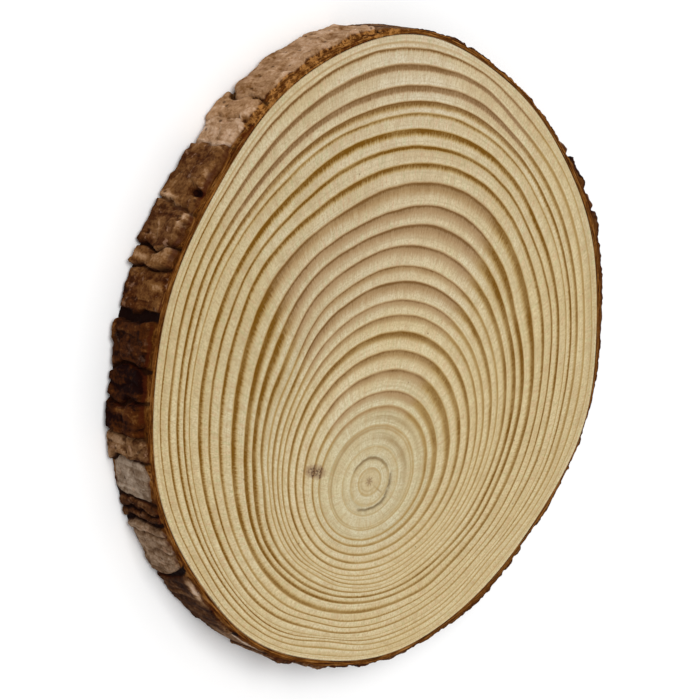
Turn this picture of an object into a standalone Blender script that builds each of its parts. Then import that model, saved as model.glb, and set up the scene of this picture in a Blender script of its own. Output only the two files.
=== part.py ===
"""Wood slice: a sawn disc of a pine stem that keeps its bark.

Lengths are in metres, angles in degrees, +Z is up. The disc lies flat on Z = 0, with its
better face up. Directions round it are counted from +X towards +Y. The origin is on the
underside, in the middle of the outer box.
"""

import math

import bpy
import numpy as np

# The stem, across the saw cut
THICKNESS = 0.020
WOOD_RADIUS = 0.1082
ARC = math.radians(1) * WOOD_RADIUS  # length of one degree along the wood's edge
# Waves of the wood's edge: folds round the disc, height, direction of a crest
WOOD_WAVES = (
    (2, 0.00040, -73),
    (3, 0.00170, -22),
    (4, 0.00100, -2),
    (5, 0.00035, -32),
    (6, 0.00040, -25),
    (7, 0.00035, -25),
    (8, 0.00020, 18),
    (10, 0.00040, 14),
)
CLEARANCE = 0.0003  # between wood and bark

# The bark, measured outwards from the wood: the inner bark, and the plates that stand on it
INNER_BARK = 0.0016
PLATE_THICKNESS = 0.0034
# Hills and hollows: direction, half width, height
INNER_HILLS = (
    (8, 24, 0.0021),
    (293, 10, 0.0016),
    (318, 4, 0.0009),
    (336, 11, -0.0010),
)
PLATE_HILLS = (
    (10, 24, 0.0022),
    (68, 10, 0.0006),
    (88, 7, -0.0006),
    (297, 7, 0.0018),
    (318, 5, 0.0010),
    (335, 10, -0.0012),
)
RIM_ROUND = 0.0013  # radius of a plate's rim
# Fine relief on the plates and on the inner bark: height, cells round the disc, cells tall
RIPPLE = (0.00022, 260, 3)
TORN = (0.00025, 140, 4)

# Bark plates, each with the furrow before it: direction of the furrow at the upper face and
# at the underside, its width, its depth as a share of the plate, then the thickness of the
# plate, how far below the upper face its crown ends, and how much lower its shoulders are
PLATES = (
    (14.6, 14.2, 0.0012, 0.80, 0.0046, 0.0006, 0.0014),
    (21.0, 21.3, 0.0014, 0.90, 0.0044, 0.0014, 0.0010),
    (26.2, 26.6, 0.0012, 0.90, 0.0048, 0.0004, 0.0022),
    (34.0, 33.6, 0.0016, 1.00, 0.0036, 0.0020, 0.0010),
    (94.5, 95.5, 0.0016, 0.90, 0.0045, 0.0034, 0.0004),
    (122.2, 121.4, 0.0012, 1.00, 0.0047, 0.0022, 0.0010),
    (127.2, 127.8, 0.0008, 0.35, 0.0042, 0.0020, 0.0006),
    (132.2, 132.9, 0.0009, 0.50, 0.0057, 0.0016, 0.0008),
    (145.2, 145.0, 0.0009, 0.50, 0.0060, 0.0016, 0.0022),
    (151.0, 151.6, 0.0011, 0.90, 0.0058, 0.0016, 0.0010),
    (155.0, 156.8, 0.0009, 0.80, 0.0030, 0.0008, 0.0012),
    (163.2, 163.9, 0.0036, 1.00, 0.0050, 0.0026, 0.0020),
    (172.2, 172.8, 0.0012, 0.90, 0.0050, 0.0030, 0.0006),
    (177.6, 178.0, 0.0010, 0.80, 0.0055, 0.0020, 0.0016),
    (183.4, 183.0, 0.0009, 0.60, 0.0042, 0.0012, 0.0006),
    (187.6, 187.9, 0.0010, 0.80, 0.0025, 0.0028, 0.0026),
    (195.0, 194.8, 0.0012, 0.90, 0.0028, 0.0016, 0.0004),
    (198.8, 199.0, 0.0016, 1.00, 0.0033, 0.0016, 0.0016),
    (208.2, 211.6, 0.0028, 1.00, 0.0025, 0.0018, 0.0026),
    (227.0, 226.0, 0.0018, 0.90, 0.0019, 0.0016, 0.0014),
    (236.0, 235.4, 0.0012, 0.80, 0.0032, 0.0014, 0.0014),
)
# From one direction to the other the ring is filled with plates drawn between the bounds
DRAWN_ARCS = ((34.0, 94.5), (236.0, 374.6))
PLATE_ARC = (6.0, 12.0)
PLATE_BOUNDS = (
    (-1.2, 1.2),  # how far the furrow leans, in degrees
    (0.0008, 0.0026),  # width of the furrow
    (0.55, 1.0),  # depth of the furrow as a share of the plate
    (0.82, 1.0),  # thickness of the plate as a share of the usual one
    (0.0010, 0.0028),  # drop of its crown
    (0.0004, 0.0022),  # drop of its shoulders
)
UNDER_DROP = (0.0004, 0.0016)  # how far above the underside any plate ends
PLATE_SEED = 20
RIPPLE_SEED = 8
TORN_SEED = 7

# How finely the solids are divided
WOOD_SIDES = 192
WOOD_RINGS = (0.4, 0.8, 1.0)
COLUMN_SPACING = 0.0034
SHARP_ANGLE = 50
BARK_HEIGHTS = (1.0, 0.965, 0.915, 0.84, 0.72, 0.57, 0.42, 0.27, 0.15, 0.07, 0.02, 0.0)

WOOD_COLOUR = (0.565, 0.445, 0.262, 1.0)
WOOD_ROUGHNESS = 0.7
BARK_COLOUR = (0.150, 0.072, 0.030, 1.0)
BARK_ROUGHNESS = 0.9


def wood_edge(direction):
    """Radius of the wood: its mean plus the sum of h cos(n (a - a0)) over the waves."""
    angle = np.radians(direction)
    radius = np.full_like(angle, WOOD_RADIUS)
    for folds, height, crest in WOOD_WAVES:
        radius += height * np.cos(folds * (angle - math.radians(crest)))
    return radius


def turned(difference):
    """A difference of directions brought between -180 and 180 degrees."""
    return (difference + 180.0) % 360.0 - 180.0


def hills(direction, table):
    """Sum of the bell curves h exp(-(d/w)^2) of a table of hills."""
    height = np.zeros_like(direction)
    for centre, half_width, top in table:
        height += top * np.exp(-((turned(direction - centre) / half_width) ** 2))
    return height


def drawn_plates(draw, start, end):
    """Plates that fill the arc from the one that starts it, of widths drawn and then
    stretched alike to fit."""
    spans = []
    while sum(spans) < end - start - PLATE_ARC[0]:
        spans.append(draw.uniform(*PLATE_ARC))
    stretch = (end - start) / sum(spans)
    plates = []
    for span in spans[:-1]:
        start += span * stretch
        lean, width, depth, share, crown, shoulder = (draw.uniform(*bounds) for bounds in PLATE_BOUNDS)
        plates.append((start, start + lean, width, depth, PLATE_THICKNESS * share, crown, shoulder))
    return plates


def all_plates():
    """The plates placed by hand and the drawn ones, in order round the disc, each with how
    far above the underside it ends."""
    draw = np.random.default_rng(PLATE_SEED)
    plates = list(PLATES)
    for start, end in DRAWN_ARCS:
        plates += drawn_plates(draw, start, end)
    under = draw.uniform(*UNDER_DROP, len(plates))
    return np.array(sorted((*plate, drop) for plate, drop in zip(plates, under)))


def soft_noise(direction, height, relief, seed):
    """Smooth relief up and down by its height: random values on a lattice that closes
    round the disc, joined by the curve t t (3 - 2 t) both ways."""
    top, cells_round, cells_tall = relief
    lattice = np.random.default_rng(seed).uniform(-1, 1, (cells_round, cells_tall + 1))
    across = (direction / 360.0 % 1.0) * cells_round
    along = np.clip(height / THICKNESS, 0, 0.999) * cells_tall
    column, row = across.astype(int), along.astype(int)
    s, t = across - column, along - row
    s, t = s * s * (3 - 2 * s), t * t * (3 - 2 * t)
    here, beyond = column % cells_round, (column + 1) % cells_round
    low = lattice[here, row] * (1 - s) + lattice[beyond, row] * s
    high = lattice[here, row + 1] * (1 - s) + lattice[beyond, row + 1] * s
    return top * (low * (1 - t) + high * t)


def rounded(distance):
    """Rise of a plate's rim, from 0 to 1 over RIM_ROUND, as a quarter circle."""
    inward = 1 - np.clip(distance / RIM_ROUND, 0, 1)
    return np.sqrt(1 - inward**2)


def plate_height(direction, height, inner, plates):
    """How far the plates stand above the inner bark.

    A plate lies between its own furrow and the next one. Its rim is a quarter circle along
    both furrows, along its arched upper end and along its lower end; a furrow that isn't
    cut to the inner bark leaves part of the plate under it.
    """
    front, back, width, depth, thickness, crown, shoulder, under = plates.T
    furrows = front + (back - front) * (1 - height[..., None] / THICKNESS)
    ahead = (direction[..., None] - furrows) % 360.0
    own = np.argmin(ahead, axis=-1)
    following = (own + 1) % len(plates)
    before = np.take_along_axis(ahead, own[..., None], -1)[..., 0] * ARC
    after = np.take_along_axis(360.0 - ahead, following[..., None], -1)[..., 0] * ARC
    rise = 1 - depth[own] * (1 - rounded(before - width[own] / 2))
    rise *= 1 - depth[following] * (1 - rounded(after - width[following] / 2))
    slope = np.abs(before - after) / (before + after)
    upper_end = THICKNESS - height - crown[own] - shoulder[own] * slope**3
    rise *= rounded(upper_end) * rounded(height - under[own])
    full = thickness[own] + hills(direction, PLATE_HILLS) - inner
    return rise * (full + soft_noise(direction, height, RIPPLE, RIPPLE_SEED))


def bark_surface(direction, height, plates):
    """Radius of the bark's outside: the inner bark, then the plates that stand on it."""
    inner = INNER_BARK + hills(direction, INNER_HILLS)
    torn = soft_noise(direction, height, TORN, TORN_SEED)
    base = wood_edge(direction) + CLEARANCE + inner + torn
    return base + plate_height(direction, height, inner, plates)


def plate_columns(plates):
    """Directions of the bark's columns at the upper face and at the underside.

    Each plate has a column in its furrow, at both feet of its rim, at both shoulders and
    evenly between them, so that the rims are sharp and no column crosses a furrow.
    """
    columns = []
    for i, plate in enumerate(plates):
        following = plates[(i + 1) % len(plates)]
        width = (following[0] - plate[0]) % 360.0 * ARC
        between = max(2, round(width / COLUMN_SPACING))
        at_both_faces = []
        for face in (0, 1):
            span = (following[face] - plate[face]) % 360.0
            foot, last_foot = plate[2] / 2 / ARC, span - following[2] / 2 / ARC
            rim = min(RIM_ROUND / ARC, (last_foot - foot) / 4)
            crown = np.linspace(foot + rim, last_foot - rim, between + 1)
            at_both_faces.append(plate[face] + np.array([0, foot, *crown, last_foot]))
        columns.append(np.array(at_both_faces).T)
    return np.concatenate(columns).T


def bark_points(plates):
    """Grid of the bark's points: columns round the disc, rows down the outside and back
    up the inside."""
    upper, under = plate_columns(plates)
    shares = np.array(BARK_HEIGHTS)[:, None]
    direction = upper * shares + under * (1 - shares)
    height = np.broadcast_to(shares * THICKNESS, direction.shape)
    radius = bark_surface(direction, height, plates)
    inside = np.stack([under, upper])
    direction = np.concatenate([direction, inside])
    radius = np.concatenate([radius, wood_edge(inside) + CLEARANCE])
    height = np.concatenate([height, np.zeros_like(inside[:1]), np.full_like(inside[:1], THICKNESS)])
    return cartesian(direction, radius, height)


def wood_points():
    """Rings of the wood's points, from the middle of the upper face over the edge to the
    middle of the underside."""
    direction = np.arange(WOOD_SIDES) * 360.0 / WOOD_SIDES
    edge = wood_edge(direction)
    rings = [(share, THICKNESS) for share in WOOD_RINGS]
    rings += [(share, 0.0) for share in reversed(WOOD_RINGS)]
    return np.stack([cartesian(direction, edge * share, np.full_like(edge, z)) for share, z in rings])


def cartesian(direction, radius, height):
    angle = np.radians(direction)
    return np.stack([radius * np.cos(angle), radius * np.sin(angle), height], axis=-1)


def ring_faces(rows, columns, closed):
    """Quads between the rings of a grid, and from the last ring to the first if closed."""
    faces = []
    for row in range(rows if closed else rows - 1):
        below = (row + 1) % rows
        for column in range(columns):
            beside = (column + 1) % columns
            corners = ((row, column), (below, column), (below, beside), (row, beside))
            faces.append([r * columns + c for r, c in corners])
    return faces


def cap_faces(ring, columns, pole, upward):
    """A fan from a pole to one ring of the grid."""
    faces = []
    for column in range(columns):
        here, beside = ring * columns + column, ring * columns + (column + 1) % columns
        faces.append([pole, here, beside] if upward else [pole, beside, here])
    return faces


def new_material(name, colour, roughness):
    material = bpy.data.materials.new(name)
    material.use_nodes = True
    shader = material.node_tree.nodes["Principled BSDF"]
    shader.inputs["Base Color"].default_value = colour
    shader.inputs["Roughness"].default_value = roughness
    material.diffuse_color = colour
    return material


def new_piece(name, points, faces, material):
    """A mesh object with smooth sides and sharp sawn edges."""
    mesh = bpy.data.meshes.new(name)
    mesh.from_pydata(points.tolist(), [], faces)
    mesh.materials.append(material)
    mesh.shade_smooth()
    mesh.set_sharp_from_angle(angle=math.radians(SHARP_ANGLE))
    piece = bpy.data.objects.new(name, mesh)
    bpy.context.scene.collection.objects.link(piece)
    return piece


def box_centre(points):
    """Middle of the box of a set of points, in plan."""
    flat = points.reshape(-1, 3)
    middle = (flat.min(axis=0) + flat.max(axis=0)) / 2
    return np.array([middle[0], middle[1], 0.0])


def make_wood(shift):
    rings = wood_points()
    poles = np.array([[0.0, 0.0, THICKNESS], [0.0, 0.0, 0.0]])
    points = np.concatenate([rings.reshape(-1, 3), poles]) - shift
    count, last = rings.shape[0] * WOOD_SIDES, rings.shape[0] - 1
    faces = ring_faces(rings.shape[0], WOOD_SIDES, closed=False)
    faces += cap_faces(0, WOOD_SIDES, count, upward=True)
    faces += cap_faces(last, WOOD_SIDES, count + 1, upward=False)
    new_piece("wood", points, faces, new_material("wood", WOOD_COLOUR, WOOD_ROUGHNESS))


def make_bark(rings, shift):
    points = rings.reshape(-1, 3) - shift
    faces = ring_faces(rings.shape[0], rings.shape[1], closed=True)
    new_piece("bark", points, faces, new_material("bark", BARK_COLOUR, BARK_ROUGHNESS))


def main():
    for leftover in list(bpy.data.objects):
        bpy.data.objects.remove(leftover, do_unlink=True)
    rings = bark_points(all_plates())
    shift = box_centre(rings)
    make_wood(shift)
    make_bark(rings, shift)


main()
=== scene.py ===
"""The looks of the wood slice: growth rings on its sawn faces, bark plates round its edge.

Lengths are in metres, but in millimetres in the tables that metres() takes, and directions
in degrees, counted from +X towards +Y. The rings and the bark are worked out about the
middle of the stem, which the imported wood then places.
"""

import math

import bpy
import numpy as np
from mathutils import Matrix, Vector


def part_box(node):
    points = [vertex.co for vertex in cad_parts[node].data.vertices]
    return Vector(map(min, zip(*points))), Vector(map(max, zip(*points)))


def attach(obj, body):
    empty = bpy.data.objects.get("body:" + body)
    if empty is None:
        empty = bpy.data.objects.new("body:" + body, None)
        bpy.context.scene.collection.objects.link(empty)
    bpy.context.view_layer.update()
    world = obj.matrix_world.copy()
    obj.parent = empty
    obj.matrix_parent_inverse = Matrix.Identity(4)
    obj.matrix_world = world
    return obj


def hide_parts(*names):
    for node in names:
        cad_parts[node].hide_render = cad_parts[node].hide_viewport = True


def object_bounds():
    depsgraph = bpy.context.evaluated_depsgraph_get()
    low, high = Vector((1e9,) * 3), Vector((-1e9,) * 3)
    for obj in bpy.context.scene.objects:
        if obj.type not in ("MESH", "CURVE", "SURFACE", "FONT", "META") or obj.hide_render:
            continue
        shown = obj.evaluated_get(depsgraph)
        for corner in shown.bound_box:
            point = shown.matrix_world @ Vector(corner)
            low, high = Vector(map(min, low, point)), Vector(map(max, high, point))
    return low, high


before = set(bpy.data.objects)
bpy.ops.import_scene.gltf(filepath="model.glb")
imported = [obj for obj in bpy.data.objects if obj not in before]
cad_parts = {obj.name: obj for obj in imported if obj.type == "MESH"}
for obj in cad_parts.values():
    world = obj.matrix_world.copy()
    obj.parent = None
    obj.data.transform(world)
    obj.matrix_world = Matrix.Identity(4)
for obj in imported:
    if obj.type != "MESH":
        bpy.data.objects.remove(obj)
cad_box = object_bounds()


def metres(columns, *rows):
    """A table of the rows, with these columns brought from millimetres to metres."""
    table = np.array(rows, dtype=float)
    table[:, columns] /= 1000
    return table


# The stem, across the saw cut
THICKNESS = 0.02
WOOD_RADIUS = 0.1082
ARC = math.radians(1) * WOOD_RADIUS
WOOD_WAVES = metres(
    [1],
    (2, 0.4, -73),
    (3, 1.7, -22),
    (4, 1, -2),
    (5, 0.35, -32),
    (6, 0.4, -25),
    (7, 0.35, -25),
    (8, 0.2, 18),
    (10, 0.4, 14),
)
CLEARANCE = 0.0003
OUTLINE_POINTS = 192

# Growth rings: mean radius at which a ring's middle lies at X, Y, from the pith outwards
RING_MIDDLES = metres(
    [0, 1, 2],
    (0, -14.7, -41.3),
    (12, -14.3, -41.4),
    (20, -13.3, -40.2),
    (35, -9.9, -35.4),
    (47, -7.5, -30.2),
    (57, -5.2, -24),
    (70, -3.2, -16.8),
    (81, -2.7, -12.3),
    (92, -2.2, -7.4),
    (102, -0.6, -3),
    (108.2, 0, 0),
)
LAST_FREE_RING = 0.104  # past this the rings turn into the wood's outline
# Waves of the rings: folds, direction of a crest, mean radius of the tallest one, how far
# from it they fade, height
RING_WAVES = metres(
    [2, 3, 4],
    (2, 3, 35, 22, 1.7),
    (2, 55, 70, 26, 1.5),
    (3, -22, 56, 12, 0.6),
    (3, -20, 114, 14, 2.1),
    (4, -38, 77, 12, 0.7),
    (4, -3, 112, 16, 1.3),
    (5, -10, 70, 9, 0.6),
    (6, -20, 110, 12, 0.5),
)
# For each year: mean radius of its end, share of it that is latewood, how dark that is,
# how mauve its widest side is, and how plain the second line within it is
YEARS = metres(
    [0],
    (5.4, 0.2, 0.4, 0.5, 0),
    (9.2, 0.35, 0.18, 0.9, 0),
    (13, 0.16, 0.34, 0.3, 0),
    (19.8, 0.15, 0.6, 0.4, 1.0),
    (25.3, 0.34, 0.66, 0.6, 0),
    (29.2, 0.62, 0.72, 0.8, 0),
    (34.6, 0.46, 0.82, 0.7, 0),
    (39.3, 0.5, 0.86, 0.5, 0),
    (43.6, 0.5, 0.92, 0.2, 0),
    (47.2, 0.42, 0.75, 0.6, 0),
    (50.2, 0.52, 0.7, 0.8, 0),
    (53.8, 0.58, 0.95, 0.8, 0),
    (56.7, 0.46, 0.8, 0.7, 0),
    (60.9, 0.58, 0.9, 0.9, 0),
    (65.5, 0.68, 1.0, 0.9, 0),
    (69.8, 0.74, 1.0, 0.9, 0),
    (75.7, 0.64, 1.0, 0.7, 0),
    (80.7, 0.42, 1.0, 0.1, 0),
    (84.8, 0.36, 0.95, 0, 0.3),
    (88.8, 0.56, 1.0, 0, 0),
    (92.5, 0.24, 0.78, 0.1, 0),
    (95.1, 0.58, 1.0, 0.3, 0),
    (98.4, 0.6, 1.0, 0.35, 0),
    (102.5, 0.44, 1.0, 0.3, 0),
    (105.3, 0.22, 1.1, 0.1, 0),
    (106, 0.5, 0.42, 0, 0),
    (109.8, 0.1, 0, 0, 0),
)
# Dents and swellings that run through a few neighbouring rings: direction, half width in
# degrees, mean radius, how far from it they fade, height
RING_DENTS = metres(
    [2, 3, 4],
    (0, 14, 102, 6, -1.2),
    (2, 14, 104.5, 3.5, -0.9),
    (10, 10, 84, 5, 0.9),
    (20, 10, 69, 4, -1.2),
    (34, 9, 87, 7, -0.8),
    (50, 12, 103, 5, -1.2),
    (67, 9, 100, 5, 1.2),
    (75, 16, 68, 5, 0.7),
    (87, 13, 103, 1.8, 0.5),
    (90, 18, 59, 4.5, 0.9),
    (90, 16, 75.7, 3, 0.5),
    (95, 12, 92, 4, -0.8),
    (103, 14, 97, 6, -0.9),
    (110, 14, 78, 6, -1.1),
    (122, 12, 88, 8, -1.1),
    (122, 12, 60, 8, 1.1),
    (125, 9, 106, 3, 0.6),
    (140, 9, 80, 5, 1),
    (148, 12, 58, 8, -1.4),
    (148, 10, 96, 5, 0.9),
    (170, 10, 103, 5, -1.1),
    (190, 8, 60, 5, -1),
    (208, 12, 66, 6, 0.8),
    (210, 10, 104, 5, -1.1),
    (222, 12, 90, 5, 0.8),
    (232, 9, 96, 6, 0.8),
    (232, 10, 54, 5, -1),
    (243, 9, 84, 6, -1.2),
    (250, 9, 99, 7, -2),
    (268, 14, 55, 6, 1.3),
    (283, 8, 75, 5, 0.8),
    (300, 9, 86, 6, -1),
    (301, 10, 99, 7, -1.8),
    (312, 12, 68, 6, 1.2),
    (327, 10, 98, 6, 1.4),
    (332, 12, 89, 5, 1),
)
# Soft stains near the pith: the age and direction of the middle, half lengths along both,
# how dark, and how grey
STAINS = (
    (0.3, 0.08, 230, 110, 0.35, 0),
    (0.68, 0.06, 200, 130, 0.35, 0.3),
    (1.15, 0.55, 318, 3.5, 0.55, 0.1),
    (1.88, 0.13, 85, 60, 0.6, 1.0),
    (2.28, 0.11, 302, 50, 0.6, 1.0),
    (3.42, 0.16, 35, 58, 0.52, 0.2),
    (3.74, 0.04, 140, 50, 0.45, 0.6),
    (3.87, 0.045, 120, 75, 0.65, 0.6),
    (4.38, 0.14, 55, 55, 0.42, 0.2),
    (4.8, 0.12, 20, 40, 0.35, 0.3),
    (4.86, 0.1, 150, 60, 0.4, 0.3),
    (5.68, 0.14, 40, 60, 0.38, 0.2),
)
LATE_SHARE, LATE_STRENGTH, MAUVE, SECOND_LINE = 1, 2, 3, 4  # the columns of YEARS
YEAR_ENDS = np.insert(YEARS[:, 0], 0, 0)
AGE_SCALE = 32.0  # years that the ring map's height stands for


def turned(difference):
    """A difference of directions brought between -180 and 180 degrees."""
    return (difference + 180.0) % 360.0 - 180.0


def eased(low, high, value):
    """0 at low and 1 at high, joined by t t (3 - 2 t), whichever of them is the larger."""
    t = np.clip((value - low) / (high - low), 0, 1)
    return t * t * (3 - 2 * t)


def sector(direction, middle, half_width):
    """Bell curve exp(-(d/w)^2) over the direction."""
    return np.exp(-((turned(direction - middle) / half_width) ** 2))


def bell(value, middle, half_length):
    """Bell curve exp(-((value - middle) / half length)^2)."""
    return np.exp(-(((value - middle) / half_length) ** 2))


def wood_edge(direction):
    """Radius of the wood: its mean plus the sum of h cos(n (a - a0)) over the waves."""
    angle = np.radians(direction)
    radius = np.full_like(angle, WOOD_RADIUS)
    for folds, height, crest in WOOD_WAVES:
        radius += height * np.cos(folds * (angle - math.radians(crest)))
    return radius


def smooth_curve(x, knots, values):
    """A cubic through the knots whose slope at each is that of the line between its
    neighbours."""
    slopes = np.gradient(values, knots)
    i = np.clip(np.searchsorted(knots, x) - 1, 0, len(knots) - 2)
    step = knots[i + 1] - knots[i]
    t = np.clip((x - knots[i]) / step, 0, 1)
    rise = values[i] * (1 - t) + values[i + 1] * t
    first = slopes[i] - (values[i + 1] - values[i]) / step
    last = (values[i + 1] - values[i]) / step - slopes[i + 1]
    return rise + step * t * (1 - t) * (first * (1 - t) + last * t)


def stem_middle():
    """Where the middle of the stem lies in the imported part: the middle of the packed
    wood's box less the middle of the box of the wood's outline."""
    direction = np.arange(0, 360, 360 / OUTLINE_POINTS)
    outline = polar(direction, wood_edge(direction))
    low, high = (np.array(corner[:2]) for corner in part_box("wood"))
    return (low + high - outline.min(axis=0) - outline.max(axis=0)) / 2


def polar(direction, radius):
    """Points X and Y at a direction and a distance from the middle."""
    angle = np.radians(direction)
    return np.stack([radius * np.cos(angle), radius * np.sin(angle)], axis=-1)


MIDDLE = stem_middle()
PITH = RING_MIDDLES[0, 1:] + MIDDLE


def ring_points(mean_radius, direction):
    """Points of the ring of a mean radius: round a middle that drifts from the pith to
    the stem's middle, with r = R + sum h cos(n (a - a0)) exp(-((R - R0) / w)^2) and the
    dents' bell curves, and the outermost rings eased into the wood's own edge."""
    angle = np.radians(direction)
    radius = mean_radius + np.zeros_like(angle)
    for folds, crest, peak, reach, height in RING_WAVES:
        fade = bell(mean_radius, peak, reach)
        radius += height * fade * np.cos(folds * (angle - math.radians(crest)))
    for middle, half_width, peak, reach, height in RING_DENTS:
        fade = bell(mean_radius, peak, reach)
        radius += height * fade * sector(direction, middle, half_width)
    knots, *middles = RING_MIDDLES.T
    drift = [smooth_curve(mean_radius, knots, middle) for middle in middles]
    ring = polar(direction, radius) + np.stack(drift, axis=-1)
    share = eased(LAST_FREE_RING, WOOD_RADIUS, mean_radius)[..., None]
    return ring * (1 - share) + polar(direction, wood_edge(direction)) * share


# The ring shake: a dry crack along part of the second and third rings. For each stretch,
# the age it follows, the direction of its middle, half its length in degrees and its depth
SHAKES = (
    (1.9, 80, 74, 0.65),
    (2.4, 278, 48, 0.9),
    (2.2, 341, 28, 1.0),
)
SHAKE_WAVES = ((5, 0.05), (17, 0.03))  # how it wanders: folds, height in years
SHAKE_WIDTH = 0.15  # in years
SHAKE_DEPTH = 0.00035


def shake(age, direction):
    """How open the ring shake is at a point, from 0 to 1."""
    angle = np.radians(direction)
    wander = sum(height * np.sin(folds * angle) for folds, height in SHAKE_WAVES)
    depth = np.zeros_like(age + direction)
    for middle_age, middle, half_length, open_share in SHAKES:
        along = 1 - eased(half_length * 0.75, half_length, np.abs(turned(direction - middle)))
        across = bell(age - wander, middle_age, SHAKE_WIDTH)
        depth = np.maximum(depth, open_share * along * across)
    return depth


def stains(age, direction):
    """How dark the soft stains are at a point, and how grey: bell curves both ways."""
    dark = np.zeros(age.shape)
    grey = np.zeros(age.shape)
    for middle_age, half_age, middle, half_width, darkness, greyness in STAINS:
        here = darkness * bell(age, middle_age, half_age) * sector(direction, middle, half_width)
        dark += here
        grey += here * greyness
    return dark, grey / np.maximum(dark, 1e-6)


WOOD_COLUMNS = 480
ROWS_A_YEAR = 3
UNDER_ROWS_A_YEAR = 2
HEART_ROWS = np.arange(0.1, 5.0, 0.085)
EDGE_SHARES = (0.985, 0.7, 0.4, 0.015)  # heights of the edge's rows, of the thickness
EDGE_SWELL = 0.9  # of the clearance, which the edge takes up
EDGE_DROP = 0.0002  # the sawn edge is just broken


def face_ages(rows_a_year, extra=()):
    """Ages of a face's rows, from just outside the pith to just inside the wood's edge."""
    last = np.interp(WOOD_RADIUS, YEAR_ENDS, np.arange(len(YEAR_ENDS)))
    ages = np.arange(1, math.ceil(last * rows_a_year)) / rows_a_year
    ages = np.concatenate([[0.04, 0.12], ages, extra, [last - 0.08, last]])
    return np.unique(ages)


def mean_radius_at(age):
    """Mean radius of the ring of an age: even growth within each year."""
    return np.interp(age, np.arange(len(YEAR_ENDS)), YEAR_ENDS)


def year_value(age, column):
    """A year's value at its end, and between two ends the one of the year that ends next,
    eased from the year before over the first third of the year."""
    values = np.insert(YEARS[:, column], 0, YEARS[0, column])
    before = np.clip(np.floor(age).astype(int), 0, len(values) - 2)
    share = eased(0.0, 0.3, age - before)
    return values[before] * (1 - share) + values[before + 1] * share


def new_object(name, data):
    made = bpy.data.objects.new(name, data)
    bpy.context.scene.collection.objects.link(made)
    return made


def new_mesh(name, points, faces, material):
    mesh = bpy.data.meshes.new(name)
    mesh.from_pydata(points, [], faces)
    mesh.materials.append(material)
    mesh.shade_smooth()
    return new_object(name, mesh)


def set_attribute(mesh, name, values):
    layer = mesh.attributes.new(name, "FLOAT", "POINT")
    layer.data.foreach_set("value", np.ascontiguousarray(values, dtype=np.float32).ravel())


def ring_grid(rows, columns, closed=False):
    """Quads between the rings of a grid that closes round, as an array of corners, and
    between its last ring and its first where it is closed that way too."""
    here = np.arange(rows * columns).reshape(rows, columns)
    beside = np.roll(here, -1, axis=1)
    corners = here, np.roll(here, -1, axis=0), np.roll(beside, -1, axis=0), beside
    return np.stack(corners, axis=-1)[: rows if closed else rows - 1].reshape(-1, 4)


def make_wood(material):
    """The sawn disc: rows of growth rings out from the pith over the upper face, down the
    edge, and back to the pith on the underside."""
    upper = face_ages(ROWS_A_YEAR, HEART_ROWS)
    under = face_ages(UNDER_ROWS_A_YEAR)[::-1]
    edge_heights = np.array(EDGE_SHARES) * THICKNESS
    edge = np.full(len(edge_heights), upper[-1])
    age = np.concatenate([upper, edge, under])[:, None]
    rows, edge_start, edge_end = len(age), len(upper), len(upper) + len(edge)
    direction = np.arange(WOOD_COLUMNS)[None, :] * 360.0 / WOOD_COLUMNS
    flat = ring_points(mean_radius_at(age) + 0 * direction, direction + 0 * age)
    flat[edge_start:edge_end] *= 1 + EDGE_SWELL * CLEARANCE / WOOD_RADIUS
    height = np.concatenate([np.full(len(upper), THICKNESS), edge_heights, np.zeros(len(under))])
    height = height[:, None] + 0 * direction
    height[:edge_start] -= SHAKE_DEPTH * shake(upper[:, None], direction)
    height[edge_start - 1] -= EDGE_DROP
    height[edge_end] += EDGE_DROP
    grid = np.concatenate([flat + MIDDLE, height[..., None]], axis=-1)
    poles = [[*PITH, THICKNESS], [*PITH, 0.0]]
    points = np.concatenate([grid.reshape(-1, 3), poles])
    quads = ring_grid(rows, WOOD_COLUMNS)
    here = np.arange(WOOD_COLUMNS)
    beside = (here + 1) % WOOD_COLUMNS
    pole = rows * WOOD_COLUMNS + 0 * here
    last = (rows - 1) * WOOD_COLUMNS
    upper_fan = np.stack([pole, here, beside], axis=-1)
    under_fan = np.stack([pole + 1, last + beside, last + here], axis=-1)
    faces = quads.tolist() + upper_fan.tolist() + under_fan.tolist()
    piece = new_mesh("wood_rings", points, faces, material)
    mesh = piece.data
    age_of = np.concatenate([np.repeat(age[:, 0], WOOD_COLUMNS), [0, 0]])
    column_of = np.concatenate([np.tile(here, rows), [0, 0]])
    add_ring_map(mesh, age_of, column_of, len(quads))
    for name, values in year_looks(age_of, column_of * 360.0 / WOOD_COLUMNS).items():
        set_attribute(mesh, name, values)
    return piece


def add_ring_map(mesh, age_of, column_of, quads):
    """The ring map: direction round the rings across, age up. A quad that closes a ring ends
    at 1, not 0, and the corner of a fan at the pith lies in the middle of its triangle."""
    corner = np.empty(len(mesh.loops), dtype=np.int32)
    mesh.loops.foreach_get("vertex_index", corner)
    across = column_of[corner] / WOOD_COLUMNS
    quad_corners = across[: quads * 4].reshape(-1, 4)
    wraps = quad_corners.max(axis=1) - quad_corners.min(axis=1) > 0.5
    closing = quad_corners[wraps]
    quad_corners[wraps] = np.where(closing < 0.5, closing + 1, closing)
    fans = across[quads * 4 :].reshape(-1, 3)
    fans[:] = np.tile((np.arange(WOOD_COLUMNS) + 0.5) / WOOD_COLUMNS, 2)[:, None]
    ring_map = np.stack([across, age_of[corner] / AGE_SCALE], axis=-1)
    layer = mesh.uv_layers.new(name="ring_map")
    layer.data.foreach_set("uv", ring_map.astype(np.float32).ravel())


# Sides of the stem: the middle and half width of a bell curve over the direction
WEAK_SIDE = (285, 62)  # where the latewood is thin and pale
FALSE_RING_SIDE = (108, 34)
FALSE_RING_START = 25.05
STAIN_STRENGTH = 1.25


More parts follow.
